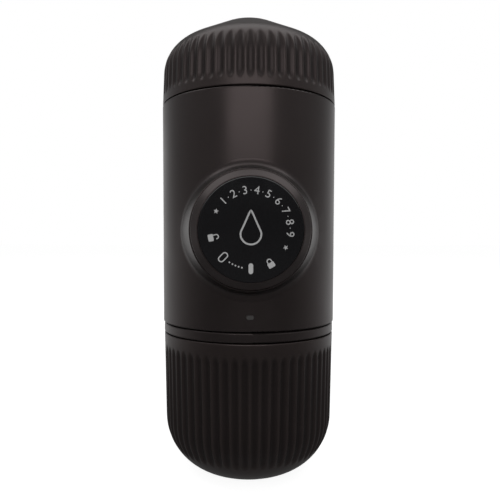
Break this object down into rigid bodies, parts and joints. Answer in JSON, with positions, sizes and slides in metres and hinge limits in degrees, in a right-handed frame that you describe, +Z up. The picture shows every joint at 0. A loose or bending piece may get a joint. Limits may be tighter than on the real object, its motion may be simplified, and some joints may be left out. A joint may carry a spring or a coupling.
{
  "type": "handheld espresso maker",
  "caption": "Pocket espresso maker pumped by hand: ribbed cup, portafilter, smooth body with a round pump knob at its front, and a ribbed domed water tank.",
  "frame": {"origin": "middle of the cup's underside, on the main axis, where the closed object stands", "axes": "+Z up along the main axis from the cup to the water tank; the pump knob faces -Y"},
  "size_m": [0.0604, 0.0697, 0.156],
  "materials": {
    "shell_plastic": "satin",
    "ribbed_plastic": "satin",
    "inner_plastic": "satin",
    "label_gloss": "gloss",
    "silicone": "matte",
    "steel": "satin",
    "spring_steel": "polished"
  },
  "bodies": {
    "main_body": {"body_shell": "shell_plastic", "tank_socket": "inner_plastic", "inlet_strainer": "steel", "pump_cylinder": "inner_plastic", "pump_screws": "steel", "lock_ring": "inner_plastic", "inlet_fitting": "inner_plastic", "inlet_spring": "spring_steel", "outlet_fitting": "inner_plastic", "outlet_spring": "spring_steel", "fitting_seals": "silicone", "brew_head": "inner_plastic", "brew_head_screws": "steel", "group_gasket": "silicone", "shower_plate": "steel", "shower_screw": "steel", "pump_spring": "spring_steel"},
    "tank_seal": {"tank_seal": "silicone"},
    "water_tank": {"water_tank": "ribbed_plastic"},
    "piston": {"piston": "inner_plastic", "piston_seals": "silicone", "knob_washer": "steel", "knob_screw": "steel"},
    "knob": {"knob": "shell_plastic", "label_disc": "label_gloss"},
    "inlet_ball": {"inlet_ball": "steel"},
    "outlet_ball": {"outlet_ball": "steel"},
    "basket": {"filter_basket": "steel", "scoop": "ribbed_plastic"},
    "portafilter": {"portafilter": "shell_plastic", "cup_seal": "silicone", "coffee_valve": "silicone", "spout_seal": "silicone"},
    "spout": {"spout": "inner_plastic"},
    "cup": {"cup": "ribbed_plastic"}
  },
  "joints": [
    {"name": "tank_lift", "type": "slide", "parent": "main_body", "child": "tank_seal", "axis": [0, 0, 1], "range_m": [0, 0.0121]},
    {"name": "tank_turn", "type": "hinge", "parent": "tank_seal", "child": "water_tank", "pos_m": [0, 0, 0.1257], "axis": [0, 0, 1], "range_deg": [0, 360]},
    {"name": "pump_stroke", "type": "slide", "parent": "main_body", "child": "piston", "axis": [0, -1, 0], "range_m": [0, 0.014], "deforming": ["pump_spring"]},
    {"name": "knob_turn", "type": "hinge", "parent": "piston", "child": "knob", "pos_m": [0, -0.0395, 0.08225], "axis": [0, -1, 0], "range_deg": [0, 45]},
    {"name": "inlet_ball_drop", "type": "slide", "parent": "main_body", "child": "inlet_ball", "axis": [0, 0, -1], "range_m": [0, 0.0012], "stiffness_N_per_m": 60, "springref_m": -0.001, "deforming": ["inlet_spring"]},
    {"name": "outlet_ball_drop", "type": "slide", "parent": "main_body", "child": "outlet_ball", "axis": [0, 0, -1], "range_m": [0, 0.0012], "stiffness_N_per_m": 60, "springref_m": -0.001, "deforming": ["outlet_spring"]},
    {"name": "portafilter_drop", "type": "slide", "parent": "main_body", "child": "basket", "axis": [0, 0, -1], "range_m": [0, 0.0121]},
    {"name": "portafilter_turn", "type": "hinge", "parent": "basket", "child": "portafilter", "pos_m": [0, 0, 0.0515], "axis": [0, 0, -1], "range_deg": [0, 360]},
    {"name": "cup_pull", "type": "slide", "parent": "portafilter", "child": "cup", "axis": [0, 0, -1], "range_m": [0, 0.04]},
    {"name": "spout_turn", "type": "hinge", "parent": "portafilter", "child": "spout", "pos_m": [0, 0, 0.0145], "axis": [0, 0, -1], "range_deg": [0, 60]}
  ],
  "couplings": [
    {"joint": "tank_lift", "follows": "tank_turn", "m_per_rad": 0.0019099},
    {"joint": "portafilter_drop", "follows": "portafilter_turn", "m_per_rad": 0.0019099}
  ]
}
